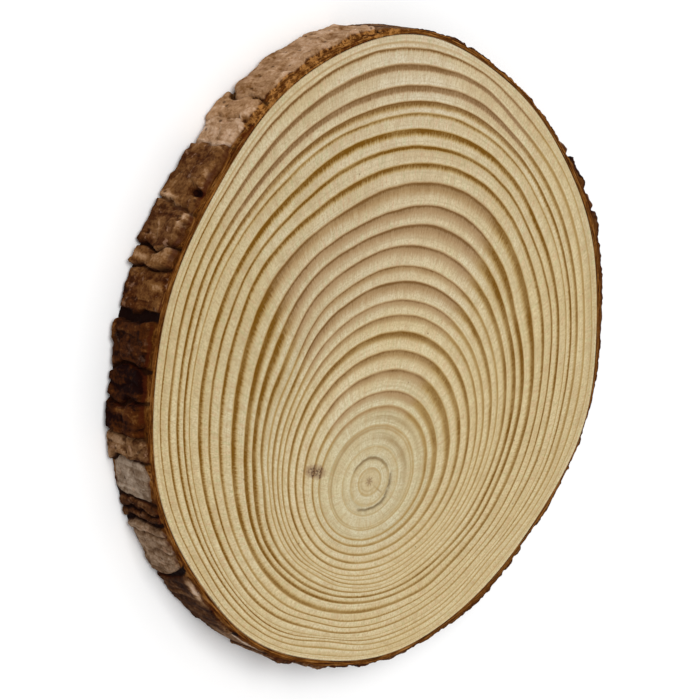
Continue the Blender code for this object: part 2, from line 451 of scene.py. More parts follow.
def changed(values, changes):
    """Values times 1 + share * where, for each change in turn."""
    for share, where in changes:
        values = values * (1 + share * where)
    return values


def year_looks(age, around):
    """What a ring looks like at an age and a direction. The latewood's width and strength
    are the year's own, changed by a share times curves over the direction and the age."""
    outer = eased(5, 9, age)
    middle_years = bell(age, 15.5, 2.8)
    weak_side = sector(around, *WEAK_SIDE)
    mauve_side = eased(42, 54, around) * eased(146, 132, around)
    mauve = np.clip(year_value(age, MAUVE) * mauve_side, 0, 1)
    early_mauve = mauve_side * bell(age, 11.4, 2.0)
    wide_side = mauve_side * (bell(age, 20.6, 0.6) + 0.4 * bell(age, 24.6, 0.5))
    steep = mauve_side * eased(22.1, 22.4, age) * eased(24.4, 24.1, age)
    wider = (
        (-0.25, weak_side * outer),
        (0.22, mauve),
        (0.4, wide_side),
        (0.16, early_mauve),
        (0.1, mauve_side * bell(age, 21.6, 0.5)),
        (0.18, steep),
        (-0.18, sector(around, 172, 28) * bell(age, 16.6, 0.7)),
        (0.45, sector(around, 25, 38) * bell(age, 6.4, 1.2)),
        (-0.35, sector(around, 190, 60) * eased(9, 6, age) * eased(3, 4.5, age)),
    )
    darker = (
        (-1, (0.1 + 0.28 * outer) * weak_side * (1 - 0.35 * middle_years)),
        (-0.25, weak_side * eased(21.5, 23, age)),
        (-0.05, sector(around, 170, 34) * (1 - middle_years) * outer),
        (-0.45, sector(around, 15, 45) * eased(22, 24.5, age)),
        (-0.08, sector(around, 28, 32) * outer),
        (-0.35, sector(around, 215, 28) * bell(age, 17.6, 0.9)),
        (-0.3, bell(age, 12.5, 0.9) * eased(45, 80, np.abs(turned(around - 85)))),
        (0.14, mauve),
        (1, 0.12 * wide_side + 0.1 * early_mauve),
    )
    strength = changed(year_value(age, LATE_STRENGTH), darker)
    false_ring = sector(around, *FALSE_RING_SIDE)
    # Earlywood darkened by a neutral grey: round the upper left in the outer years, a little near
    # the pith, and at the far right and left in the last rings
    darker_earlywood = (
        0.75 * sector(around, 130, 85) * eased(6, 14, age),
        0.25 * eased(10, 4, age),
        0.5 * sector(around, 5, 40) * eased(23.8, 25, age),
        0.8 * sector(around, 165, 40) * eased(25.3, 25.9, age),
    )
    stain, stain_grey = stains(age, around)
    return {
        "late_share": changed(year_value(age, LATE_SHARE), wider),
        "late_strength": np.where(age > FALSE_RING_START, strength * false_ring, strength),
        "steep": steep,
        "mauve": mauve,
        "rosy": np.clip(mauve + 0.6 * mauve_side * eased(21.6, 22.3, age), 0, 1),
        "second_line": year_value(age, SECOND_LINE),
        "darker_earlywood": np.max(darker_earlywood, axis=0),
        "creamy": np.maximum(0.55 * eased(10, 4, age), sector(around, 88, 36) * eased(9, 13, age)),
        "stain": STAIN_STRENGTH * stain,
        "stain_grey": stain_grey,
        "shake": shake(age, around),
    }


# The bark, measured outwards from the wood: the inner bark, and the plates that stand on it
INNER_BARK = 0.0016
PLATE_THICKNESS = 0.0034
INNER_HILLS = metres(
    [2],
    (8, 24, 2.1),
    (293, 10, 1.6),
    (318, 4, 0.9),
    (336, 11, -1),
)
PLATE_HILLS = metres(
    [2],
    (10, 24, 2.2),
    (68, 10, 0.6),
    (88, 7, -0.6),
    (297, 7, 1.8),
    (318, 5, 1),
    (335, 10, -1.2),
)
RIM_ROUND = 0.0009
# Bark plates, each with the furrow before it: direction of the furrow at the upper face and
# at the underside, its width, its depth as a share of the plate, then the thickness of the
# plate, how far below the upper face its crown ends, how much lower its shoulders are, how
# light it is, from 0 to 1, and how grey
PLATES = metres(
    [2, 4, 5, 6],
    (14.6, 14.2, 1.2, 0.8, 4.6, 0.6, 1.4, 0.22, 0.2),
    (21.0, 21.3, 1.4, 0.9, 4.4, 1.4, 1, 0.32, 0.1),
    (26.2, 26.6, 1.2, 0.9, 4.8, 0.4, 2.2, 0.18, 0.2),
    (34.0, 33.6, 1.6, 1.0, 3.6, 2, 1, 0.38, 0.3),
    (94.5, 95.5, 1.6, 0.9, 4.5, 3.4, 0.4, 0.68, 0.15),
    (122.2, 121.4, 1, 0.75, 4.7, 1.8, 0.6, 0.74, 0.1),
    (127.2, 127.8, 0.8, 0.35, 4.2, 2, 0.6, 0.8, 0.2),
    (132.2, 132.9, 0.9, 0.5, 5.7, 1.6, 0.8, 0.34, 0.1),
    (145.2, 145.0, 0.9, 0.5, 6, 1.6, 2.2, 0.36, 0.15),
    (151.0, 151.6, 1.1, 0.9, 5.8, 1.6, 1, 0.38, 0.1),
    (155.0, 156.8, 0.9, 0.8, 3, 0.8, 1.2, 0.26, 0.05),
    (163.2, 163.9, 3.6, 1.0, 5, 2.6, 2, 0.18, 0.05),
    (172.2, 172.8, 1.2, 0.9, 5, 3, 0.6, 0.06, 0.0),
    (177.6, 178.0, 1, 0.8, 5.5, 2, 1.6, 0.12, 0.0),
    (183.4, 183.0, 0.9, 0.6, 4.2, 1.2, 0.6, 0.42, 0.3),
    (187.6, 187.9, 1, 0.8, 2.5, 2.8, 2.6, 0.58, 0.9),
    (195.0, 194.8, 1.2, 0.9, 2.8, 1.6, 0.4, 0.24, 0.3),
    (198.8, 199.0, 1.6, 1.0, 3.3, 1.6, 1.6, 0.6, 0.65),
    (208.2, 211.6, 2.8, 1.0, 2.5, 1.8, 2.6, 0.2, 0.35),
    (227.0, 226.0, 1.8, 0.9, 1.9, 1.6, 1.4, 0.4, 0.5),
    (236.0, 235.4, 1.2, 0.8, 3.2, 1.4, 1.4, 0.34, 0.4),
)
# Where the other plates are drawn, how wide they may be in degrees, and the bounds of a
# furrow's lean, its width and depth, then of a plate's share of the full thickness, its
# crown and its shoulders
DRAWN_ARCS = ((34.0, 94.5), (236.0, 374.6))
PLATE_ARC = (6.0, 12.0)
PLATE_BOUNDS = (
    (-1.2, 1.2),
    (0.0008, 0.0026),
    (0.55, 1.0),
    (0.82, 1.0),
    (0.001, 0.0028),
    (0.0004, 0.0022),
)
DRAWN_LIGHT = (0.18, 0.52)
DRAWN_GREY = (0.0, 0.6)
UNDER_DROP = (0.0004, 0.0016)  # how far above the underside a plate ends
PLATE_SEED = 20


def hills(direction, table):
    """Sum of the bell curves h exp(-(d/w)^2) of a table of hills."""
    height = np.zeros_like(direction)
    for centre, half_width, top in table:
        height += top * sector(direction, centre, half_width)
    return height


def drawn_plates(draw, start, end):
    """Plates that fill the arc from the one that starts it, of widths drawn and then
    stretched alike to fit."""
    spans = []
    while sum(spans) < end - start - PLATE_ARC[0]:
        spans.append(draw.uniform(*PLATE_ARC))
    stretch = (end - start) / sum(spans)
    plates = []
    for span in spans[:-1]:
        start += span * stretch
        lean, width, depth, share, *ends = (draw.uniform(*bounds) for bounds in PLATE_BOUNDS)
        plates.append((start, start + lean, width, depth, PLATE_THICKNESS * share, *ends))
    return plates


def all_plates():
    """The listed plates and the drawn ones, in order round the disc: each with the values of
    PLATES, and how far above the underside it ends."""
    draw = np.random.default_rng(PLATE_SEED)
    drawn = [plate for arc in DRAWN_ARCS for plate in drawn_plates(draw, *arc)]
    drops = draw.uniform(*UNDER_DROP, len(PLATES) + len(drawn))
    tones = zip(draw.uniform(*DRAWN_LIGHT, len(drawn)), draw.uniform(*DRAWN_GREY, len(drawn)))
    plates = [*PLATES, *((*plate, *tone) for plate, tone in zip(drawn, tones))]
    return np.array(sorted((*plate, drop) for plate, drop in zip(plates, drops)))


def soft_noise(direction, height, relief):
    """Smooth relief up and down by its height: random values on a lattice that closes
    round the disc, joined by the curve t t (3 - 2 t) both ways."""
    top, cells_round, cells_tall, seed = relief
    lattice = np.random.default_rng(seed).uniform(-1, 1, (cells_round, cells_tall + 1))
    across = (direction / 360.0 % 1.0) * cells_round
    along = np.clip(height / THICKNESS, 0, 0.999) * cells_tall
    column, row = across.astype(int), along.astype(int)
    s, t = across - column, along - row
    s, t = s * s * (3 - 2 * s), t * t * (3 - 2 * t)
    here, beyond = column % cells_round, (column + 1) % cells_round
    low = lattice[here, row] * (1 - s) + lattice[beyond, row] * s
    high = lattice[here, row + 1] * (1 - s) + lattice[beyond, row + 1] * s
    return top * (low * (1 - t) + high * t)


def rounded(distance):
    """Rise of a plate's rim, from 0 to 1 over its radius, as a quarter circle."""
    inward = 1 - np.clip(distance / RIM_ROUND, 0, 1)
    return np.sqrt(1 - inward**2)


BARK_COLUMNS = 1600
LEDGE = (0.0, 0.25, 0.5, 0.75, 0.92)  # shares of the bark, across its sawn upper edge
LEDGE_SAG = 0.00025
RIM_DROP = 0.0003
SIDE_ROWS = 50
CROWN_SHARE = 0.6  # how much of the solid's chipped upper ends is left
# The relief, the solid's and finer: height, cells round the disc, cells tall, seed
RIPPLE = (0.00022, 260, 3, 8)
TORN = (0.00025, 140, 4, 7)
BEND = (1.1, 90, 3, 30)  # of the furrows, in degrees, away from the upper face
WANDER = (0.35, 260, 8, 31)  # of the furrows, in degrees
# Furrows that bulge to one side: direction, half width of the reach, degrees, height of the
# farthest point as a share of the thickness, and 1 for a sharp bend, less for a round one
BULGES = (
    (121.8, 5, 1.3, 0.5, 0.6),
    (151.3, 4, 1.6, 0.62, 1.0),
    (209.0, 5, 1.2, 0.45, 0.6),
)
FRAY = (0.0008, 330, 1, 32)  # of the plates' ends
RAGGED = (0.7, 200, 6, 33)  # of the scales' borders, in degrees
FIBRES = (0.00014, 640, 2, 35)
FINE_FIBRES = (0.0001, 1300, 3, 36)
CRUMBS = (0.0003, 560, 16, 37)
LEDGE_CHIPS = (0.0003, 500, 1, 38)
# Scales that the plates break into: cells round the disc, cells tall, how far one drops
# below the next, how much of a cell the step takes, seed
LARGE_SCALES = (62, 2, 0.0016, 0.08, 51)
SMALL_SCALES = (150, 4, 0.00022, 0.2, 52)
PLATE_SWELL = 0.0004  # makes up for what the scales take off
SCALED_THICKNESS = 0.003  # a thinner plate has shallower scales
SCALE_TILT = 0.45
# The side where the plates are worn thinner than on the solid: direction and half width
WORN_SIDE = (60, 27)
WORN_DEPTH = 0.001
# Creases in the plates: direction, half width in degrees, depth
GROOVES = metres(
    [2],
    (105.0, 0.35, 0.3),
    (175.2, 0.3, 0.7),
    (197.0, 0.3, 1.3),
    (199.6, 0.25, 0.5),
    (201.4, 0.25, 0.6),
    (204.6, 0.3, 0.6),
    (206.4, 0.2, 0.3),
)
# Pale patches where a plate has just flaked: direction, half width in degrees, height, half
# height, how much lighter
PALE_PATCHES = metres(
    [2, 3],
    (132.0, 2.0, 15, 3, 0.22),
    (144.6, 0.8, 6, 6, 0.3),
    (148.3, 1.4, 9, 4, 0.24),
    (146.5, 2.4, 18, 0.9, 0.34),
    (154.2, 1.0, 5, 5, 0.4),
    (158.5, 0.7, 15, 4, 0.22),
    (178.8, 0.5, 10, 6, 0.22),
    (184.6, 0.9, 7, 6, 0.22),
    (213.6, 3.0, 17.8, 1.8, 0.95),
    (228.6, 4.5, 17.8, 1.8, 0.62),
)
# Painted shade: how much darker a plate is in its creases and in its pits, for each metre of their
# depth
GROOVE_SHADE = 300
PIT_SHADE = 260
# Holes in the plates: direction, height, half width and half height, depth
PITS = metres(
    [1, 2, 3, 4],
    (127.1, 17.8, 1, 1.3, 2.2),
    (142.0, 17.2, 1.3, 2.1, 2.4),
    (129.6, 9, 0.5, 0.6, 0.6),
    (150.2, 4.2, 0.8, 1, 1),
    (187.4, 16.8, 0.6, 1.8, 1.4),
)


def scales(direction, height, cells, seed):
    """Broken scales. Each point belongs to the nearest of the scattered middles, one to a
    cell, and each scale has a level, a tilt and a tone of its own. Gives the level there
    and that of the next scale, the tone, and how far off the border is, in cells."""
    cells_round, cells_tall = cells
    draw = np.random.default_rng(seed)
    size = (cells_round, cells_tall + 2)
    lies_across, lies_along, middle_level, middle_tone = draw.uniform(0, 1, (4, *size))
    tilt_across, tilt_along = draw.uniform(-SCALE_TILT, SCALE_TILT, (2, *size))
    across = (direction / 360.0 % 1.0) * cells_round
    along = height / THICKNESS * cells_tall
    column = np.floor(across).astype(int)
    row = np.clip(np.floor(along).astype(int), 0, cells_tall - 1)
    nearest = np.full(across.shape, np.inf)
    second = np.full(across.shape, np.inf)
    level, next_level, tone = np.zeros((3, *across.shape))
    for step_across in (-1, 0, 1):
        for step_along in (-1, 0, 1):
            cell = (column + step_across) % cells_round, row + step_along + 1
            off_across = across - column - step_across - lies_across[cell]
            off_along = along - row - step_along - lies_along[cell]
            apart = np.hypot(off_across, off_along)
            here = middle_level[cell]
            here = here + tilt_across[cell] * off_across + tilt_along[cell] * off_along
            closer = apart < nearest
            next_level = np.where(closer, level, np.where(apart < second, here, next_level))
            second = np.where(closer, nearest, np.minimum(second, apart))
            level = np.where(closer, here, level)
            tone = np.where(closer, middle_tone[cell], tone)
            nearest = np.minimum(nearest, apart)
    return level, next_level, tone, second - nearest


def scale_relief(direction, height, kind):
    """How far the scales lie below the plate's face, their tone, and how plainly a point is a
    raised rim (above 0) or the foot of one (below 0), which the finish paints with a highlight and
    with shade."""
    *cells, drop, step, seed = kind
    level, next_level, tone, border = scales(direction, height, cells, seed)
    share = 0.5 + 0.5 * np.clip(border / step, 0, 1)
    blended = level * share + next_level * (1 - share)
    rim = np.clip((level - next_level) * 2.5, -1, 1) * np.exp(-((border / (1.6 * step)) ** 2))
    return drop * (1 - np.clip(blended, 0, 1)), tone, rim


def bark_look(direction, height, plates):
    """Radius of the bark's outside and what it looks like there.

    As on the solid: the inner bark, then the plates that stand on it, with a quarter circle
    for a rim. The furrows bend and wander, the upper ends fray, and each plate is broken
    into scales and carries fibres along the stem and pits.
    """

    def relief_of(kind):
        return soft_noise(direction, height, kind)

    front, back, width, depth, thickness, crown, shoulder, light, grey, under = plates.T
    below = 1 - (height / THICKNESS) ** 3
    wandered = direction + relief_of(BEND) * below
    wandered += relief_of(WANDER)
    for centre, half_width, bulge, peak, power in BULGES:
        near = 1 - np.abs(height / THICKNESS - peak) / max(peak, 1 - peak)
        wandered -= bulge * sector(direction, centre, half_width) * near**power
    furrows = front + (back - front) * (1 - height[..., None] / THICKNESS)
    ahead = (wandered[..., None] - furrows) % 360.0
    own = np.argmin(ahead, axis=-1)
    following = (own + 1) % len(plates)
    before = np.take_along_axis(ahead, own[..., None], -1)[..., 0] * ARC
    after = np.take_along_axis(360.0 - ahead, following[..., None], -1)[..., 0] * ARC
    side = 1 - depth[own] * (1 - rounded(before - width[own] / 2))
    side *= 1 - depth[following] * (1 - rounded(after - width[following] / 2))
    slope = np.abs(before - after) / (before + after)
    fray = relief_of(FRAY)
    chipped = CROWN_SHARE * (crown[own] + shoulder[own] * slope**3)
    ends = rounded(THICKNESS - height - chipped + fray)
    ends *= rounded(height - under[own] - fray * 0.5)
    inner = INNER_BARK + hills(direction, INNER_HILLS)
    full = thickness[own] + hills(direction, PLATE_HILLS) - inner
    full -= WORN_DEPTH * sector(direction, *WORN_SIDE)

    ragged = direction + relief_of(RAGGED)
    large, large_tone, large_rim_light_and_shade = scale_relief(ragged, height, LARGE_SCALES)
    small, small_tone, small_rim_light_and_shade = scale_relief(ragged, height, SMALL_SCALES)
    fibres = relief_of(FIBRES) + relief_of(FINE_FIBRES)
    relief = full + relief_of(RIPPLE) + fibres + PLATE_SWELL
    relief -= (large + small) * np.clip(full / SCALED_THICKNESS, 0.3, 1)
    rise = side * ends
    # Lighter in the pale patches, and painted shade in the pits and creases that deepens with
    # their depth
    pale = np.zeros(direction.shape)
    for centre, level_up, half_wide, half_tall, deep in PITS:
        across = turned(direction - centre) * ARC / half_wide
        pit = deep * np.exp(-(across**2 + ((height - level_up) / half_tall) ** 2) ** 2)
        relief -= pit
        pale -= pit * PIT_SHADE
    for centre, half_wide, deep in GROOVES:
        groove = deep * sector(wandered, centre, half_wide)
        relief -= groove
        pale -= groove * GROOVE_SHADE
    for centre, half_wide, level_up, half_tall, lighter in PALE_PATCHES:
        pale += lighter * sector(wandered, centre, half_wide) * bell(height, level_up, half_tall)
    base = wood_edge(direction) + CLEARANCE + inner + relief_of(TORN)
    base += relief_of(CRUMBS) * (1 - rise)
    radius = base + rise * np.maximum(relief, 0.0)
    look = {
        "rise": rise,
        # How deep in a furrow a point is, which the finish paints as shade
        "furrow": 1 - side,
        # The plate's own lightness, with the pale patches and the painted shade of pits and
        # creases
        "light": light[own] + pale,
        "grey": grey[own] + 0.0 * rise,
        "tone": 0.65 * large_tone + 0.35 * small_tone,
        # Above 0 on a raised scale rim, below 0 at its foot: painted highlight and painted shade
        # in the finish
        "rim": large_rim_light_and_shade + 0.6 * small_rim_light_and_shade,
        "fibre": fibres / (FIBRES[0] + FINE_FIBRES[0]),
    }
    return radius, look


def make_bark(plates, material):
    """The ring of bark: out over its sawn upper edge, down its plates, in under it and up
    against the wood."""
    direction = np.arange(BARK_COLUMNS) * 360.0 / BARK_COLUMNS
    shares = 1 - np.arange(SIDE_ROWS) / (SIDE_ROWS - 1)
    side_direction, side_height = np.meshgrid(direction, shares * THICKNESS)
    side, look = bark_look(side_direction, side_height, plates)

    inner_edge = wood_edge(direction) + CLEARANCE
    ledge = np.array(LEDGE)[:, None]
    upper = inner_edge + ledge * (side[0] - inner_edge)
    upper_height = THICKNESS - LEDGE_SAG * ledge**3 + 0 * upper
    upper_height[1:] -= np.abs(soft_noise(direction, upper[1:], LEDGE_CHIPS))
    under = (inner_edge + ledge * (side[-1] - inner_edge))[::-1]
    radius = np.concatenate([upper, side, under])
    height = np.concatenate([upper_height, side_height, 0 * under])
    height[len(LEDGE)] -= RIM_DROP
    flat = polar(direction + 0 * radius, radius) + MIDDLE
    grid = np.concatenate([flat, height[..., None]], axis=-1)
    grid = np.clip(grid, np.array(cad_box[0]), np.array(cad_box[1]))
    rows = len(grid)
    faces = ring_grid(rows, BARK_COLUMNS, closed=True).tolist()
    piece = new_mesh("bark_plates", grid.reshape(-1, 3), faces, material)
    beyond = ((len(LEDGE), len(LEDGE)), (0, 0))
    look = {name: np.pad(values, beyond, "edge") for name, values in look.items()}
    look["outward"] = radius - inner_edge
    look["dim"] = 1 - 0.8 * sector(direction, 70, 60) - 0.75 * sector(direction, 310, 55)
    look["crumbly"] = eased(84, 92, direction) * eased(136, 128, direction)
    look["sawn"] = np.arange(rows)[:, None] < len(LEDGE)
    for name, values in look.items():
        set_attribute(piece.data, name, values + 0 * radius)
    return piece


class Finish:
    """A material and short ways to add its nodes. Where a value is asked for, it is a number
    or a socket; a shade is a screen colour."""

    def __init__(self, name):
        self.material = bpy.data.materials.new(name)
        self.material.use_nodes = True
        self.tree = self.material.node_tree
        self.shader = self.tree.nodes["Principled BSDF"]

    def node(self, kind, inputs=(), **settings):
        node = self.tree.nodes.new("ShaderNode" + kind)
        for name, value in settings.items():
            setattr(node, name, value)
        for key, value in dict(inputs).items():
            self.put(node.inputs[key], value)
        return node

    def put(self, socket, value):
        if isinstance(value, bpy.types.NodeSocket):
            self.tree.links.new(value, socket)
        else:
            socket.default_value = value

    def math(self, operation, *values, clamp=False):
        inputs = dict(enumerate(values))
        return self.node("Math", inputs, operation=operation, use_clamp=clamp).outputs[0]

    def times(self, first, second, clamp=False):
        return self.math("MULTIPLY", first, second, clamp=clamp)

    def plus(self, first, second):
        return self.math("ADD", first, second)

    def scaled(self, value, factor, offset, clamp=False):
        """The value times the factor plus the offset."""
        return self.math("MULTIPLY_ADD", value, factor, offset, clamp=clamp)

    def smooth(self, value, low, high):
        """0 at low, 1 at high, smooth between, whichever is the larger."""
        inputs = {"Value": value, "From Min": low, "From Max": high}
        return self.node("MapRange", inputs, interpolation_type="SMOOTHSTEP").outputs[0]

    def mix(self, share, first, second, blend="MIX"):
        node = self.node("Mix", data_type="RGBA", blend_type=blend)
        self.put(node.inputs["Factor"], share)
        self.put(node.inputs["A"], first)
        self.put(node.inputs["B"], second)
        return node.outputs["Result"]

    def between(self, share, shades):
        return self.mix(share, *(colour(*shade) for shade in shades))

    def tinted(self, base, mask, share, shade):
        """The base with this share of the shade over it where the mask is 1."""
        return self.mix(self.times(mask, share), base, colour(*shade))

    def filtered(self, base, mask, shade):
        """The base times the shade where the mask is 1."""
        return self.mix(mask, base, colour(*shade), "MULTIPLY")

    def ramp(self, share, places, shades):
        """A colour ramp with these shades at these places."""
        node = self.node("ValToRGB", {"Fac": share})
        elements = node.color_ramp.elements
        while len(elements) < len(shades):
            elements.new(0.5)
        for element, place, shade in zip(elements, places, shades):
            element.position = place
            element.color = colour(*shade)
        return node.outputs["Color"]

    def attribute(self, name):
        return self.node("Attribute", attribute_name=name).outputs["Fac"]

    def noise(self, vector, scale, detail=2, roughness=0.5):
        inputs = {"Vector": vector, "Scale": scale, "Detail": detail, "Roughness": roughness}
        return self.node("TexNoise", inputs).outputs["Fac"]

    def dots(self, vector, scale, number, rim):
        """A dot in each scattered cell whose random number passes, with a soft rim."""
        inputs = {"Vector": vector, "Scale": scale}
        cells = self.node("TexVoronoi", inputs, voronoi_dimensions="3D").outputs
        drawn = self.node("SeparateColor", {0: cells["Color"]}).outputs[0]
        return self.times(self.smooth(cells["Distance"], *rim), self.smooth(drawn, *number))

    def object_place(self):
        return self.node("TexCoord").outputs["Object"]

    def stretched(self, vector, scale):
        inputs = {0: vector, 1: scale}
        return self.node("VectorMath", inputs, operation="MULTIPLY").outputs[0]

    def flat_length(self, vector):
        """Length of the vector's share in X and Y."""
        inputs = {0: self.stretched(vector, (1, 1, 0))}
        return self.node("VectorMath", inputs, operation="LENGTH").outputs["Value"]

    def surface(self, base, roughness, specular):
        """Sets the shader's sockets: a number on the socket itself, or a link."""
        self.put(self.shader.inputs["Base Color"], base)
        self.put(self.shader.inputs["Roughness"], roughness)
        self.put(self.shader.inputs["Specular IOR Level"], specular)

    def bump(self, height, distance, strength=1):
        inputs = {"Height": height, "Distance": distance, "Strength": strength}
        self.put(self.shader.inputs["Normal"], self.node("Bump", inputs).outputs[0])


def colour(red, green, blue):
    """A colour given in 0 to 255 as a screen shows it, made linear."""
    return (*((channel / 255) ** 2.2 for channel in (red, green, blue)), 1)


# Colours of the wood, in 0 to 255 as a screen shows them; past 255 a filter brightens
EARLYWOOD = ((218, 204, 167), (216, 198, 154))
LATE_IN_SEASON = (199, 175, 128)
FINE_RINGS = (178, 160, 119)
WIDE_RAYS = (188, 163, 121)
FINE_RAYS = (180, 154, 112)
GRAIN = (166, 143, 103)
STAIN_COLOURS = ((150, 120, 74), (116, 97, 66))  # brown, and the greyest
# Golden and mauve, halfway into the latewood and at its darkest
MIDDLING = ((168, 139, 88), (163, 133, 98))
LATEWOOD = ((110, 73, 8), (115, 84, 49))
RESIN_DOTS = (96, 66, 34)
PITH_FLUSH = (188, 164, 120)
PITH_CORE = (122, 88, 54)
SHAKE_COLOUR = (118, 98, 66)
KNOT_STAIN = (144, 111, 78)
KNOT_CORE = (84, 58, 44)
KNOT_RINGS = (70, 44, 34)
PITH_RAYS = 7  # arms of its star
KNOT_BEARING = math.radians(160.5)
KNOT_REACH = (0.0215, 0.033)  # where the knot starts and ends, from the pith
KNOT_HALF_WIDTH = 0.0027


def wood_finish():
    """Growth rings: pale earlywood that darkens towards each year's end, golden or mauve,
    with the sharp side outwards and fine rays along the radius."""
    finish = Finish("sanded_wood")
    noise, attribute, smooth = finish.noise, finish.attribute, finish.smooth
    times, plus, scaled = finish.times, finish.plus, finish.scaled
    mix, tinted, filtered = finish.mix, finish.tinted, finish.filtered
    place = finish.object_place()
    ring_map = finish.node("UVMap", uv_map="ring_map").outputs[0]

    def ring_noise(cells_round, cells_a_year, *texture):
        cells = (cells_round, AGE_SCALE * cells_a_year, 1)
        return noise(finish.stretched(ring_map, cells), 1, *texture)

    rays = ring_noise(1300, 1.6, 3, 0.65)
    wide_rays = ring_noise(150, 0.5)
    stretches = ring_noise(26, 1, 1)
    fine_rings = ring_noise(4, 7, 3, 0.6)
    tint = ring_noise(420, 0.9, 2, 0.6)
    cloud = noise(place, 22)
    tremor = noise(place, 130)
    grain = noise(place, 1100, 3, 0.8)

    # The season: how much of its year has passed at a point, from 0 to 1, made uneven
    height = finish.node("SeparateXYZ", {0: ring_map}).outputs["Y"]
    age = times(height, AGE_SCALE)
    shift = scaled(rays, 0.1, scaled(tremor, 0.1, -0.14))
    season = finish.math("FRACT", plus(age, shift))

    # How dark the latewood is: it rises over its share of the year, at once where it is
    # golden and slowly where it is mauve, and falls at the year's end
    late_share = attribute("late_share")
    steep = attribute("steep")
    starts = finish.math("SUBTRACT", 1, late_share)
    into = finish.math("DIVIDE", finish.math("SUBTRACT", season, starts), late_share)
    into = plus(into, scaled(rays, 0.4, -0.2))
    rises = scaled(steep, 0.4, -0.15), scaled(steep, -0.05, 0.55)
    golden = smooth(into, *rises)
    dark_edge = smooth(season, 0.74, 0.88)
    slow = smooth(into, -0.15, 1.05)
    soft = scaled(dark_edge, 0.33, times(slow, 0.67))
    inputs = {0: attribute("mauve"), 2: golden, 3: soft}
    shape = finish.node("Mix", inputs).outputs[0]
    shape = times(shape, smooth(season, 1, 0.87))
    second = times(smooth(season, 0.7, 0.76), smooth(season, 0.84, 0.78))
    second = times(second, attribute("second_line"))
    shape = scaled(second, 0.5, shape)
    ray_share = scaled(stretches, 0.7, scaled(rays, 0.7, 0.3))
    dark = times(shape, attribute("late_strength"))
    dark = times(dark, scaled(grain, 0.7, 0.65))
    dark = times(dark, ray_share, clamp=True)

    early = finish.between(smooth(cloud, 0.35, 0.65), EARLYWOOD)
    ageing = scaled(stretches, 1.7, plus(season, -0.82), clamp=True)
    early = tinted(early, ageing, 0.9, LATE_IN_SEASON)
    heart = smooth(age, 8, 4)
    fine_share = scaled(heart, 0.32, 0.4)
    early = tinted(early, smooth(fine_rings, 0.5, 0.64), fine_share, FINE_RINGS)
    early = filtered(early, heart, (249, 256, 256))
    early = tinted(early, smooth(wide_rays, 0.45, 0.7), 0.5, WIDE_RAYS)
    early = tinted(early, smooth(rays, 0.46, 0.64), 0.55, FINE_RAYS)
    early = tinted(early, smooth(grain, 0.42, 0.68), 0.55, GRAIN)
    # A neutral grey filter that darkens the earlywood where this mask is 1
    early = filtered(early, attribute("darker_earlywood"), (233, 233, 233))
    early = filtered(early, attribute("creamy"), (260, 262, 276))
    early = filtered(early, smooth(tint, 0.56, 0.7), (255, 244, 243))
    early = filtered(early, smooth(tint, 0.44, 0.3), (244, 252, 246))
    stain = finish.between(attribute("stain_grey"), STAIN_COLOURS)
    early = mix(times(attribute("stain"), ray_share, clamp=True), early, stain)
    rosy = attribute("rosy")
    base = mix(times(dark, 2, clamp=True), early, finish.between(rosy, MIDDLING))
    late = finish.between(rosy, LATEWOOD)
    base = mix(scaled(dark, 2, -1, clamp=True), base, late)
    dots = finish.dots(place, 210, (0.8, 0.86), (0.085, 0.05))
    base = tinted(base, dots, 0.6, RESIN_DOTS)

    # The pith, its star of first cells, and the faint flush round it
    inputs = {0: place, 1: (*PITH, THICKNESS)}
    pith = finish.node("VectorMath", inputs, operation="SUBTRACT").outputs[0]
    apart = finish.node("SeparateXYZ", {0: pith}).outputs
    angle = finish.math("ARCTAN2", apart["Y"], apart["X"])
    wander = times(noise(place, 900, 1), PITH_RAYS)
    star = finish.math("SINE", scaled(angle, PITH_RAYS, wander))
    ragged = scaled(star, -0.0005, finish.flat_length(pith))
    ragged = scaled(tremor, 0.001, ragged)
    base = tinted(base, smooth(ragged, 0.0062, 0.003), 0.4, PITH_FLUSH)
    base = tinted(base, smooth(ragged, 0.0024, 0.0008), 0.7, PITH_CORE)

    broken = smooth(noise(place, 420), 0.3, 0.55)
    broken = scaled(broken, 0.5, 0.4)
    base = tinted(base, attribute("shake"), broken, SHAKE_COLOUR)
    base = knotted(finish, base, dark_edge, place)
    finish.surface(base, scaled(dark, -0.12, 0.78), 0.1)
    finish.bump(scaled(grain, 0.6, times(dark, 0.5)), 0.00006)
    return finish.material


def knotted(finish, base, dark_edge, place):
    """The small knot: a brown oval along the radius, darkest where rings cross it."""
    start, end = KNOT_REACH
    along = np.array([math.cos(KNOT_BEARING), math.sin(KNOT_BEARING)])
    inputs = {
        "Vector": place,
        "Location": (*(PITH + (start + end) / 2 * along), 0),
        "Rotation": (0, 0, KNOT_BEARING),
        "Scale": ((end - start) / 2, KNOT_HALF_WIDTH, 1),
    }
    oval = finish.node("Mapping", inputs, vector_type="TEXTURE").outputs[0]
    rough = finish.scaled(finish.noise(place, 700), 0.7, finish.flat_length(oval))
    mask = finish.smooth(rough, 1.45, 1.05)
    split = finish.noise(place, 1500, 2, 0.7)
    core = finish.times(finish.smooth(rough, 1.12, 0.62), finish.smooth(split, 0.4, 0.54))
    crossing = finish.times(finish.times(dark_edge, mask), finish.smooth(split, 0.3, 0.62))
    base = finish.tinted(base, mask, 0.6, KNOT_STAIN)
    base = finish.tinted(base, core, 0.85, KNOT_CORE)
    return finish.tinted(base, crossing, 0.9, KNOT_RINGS)


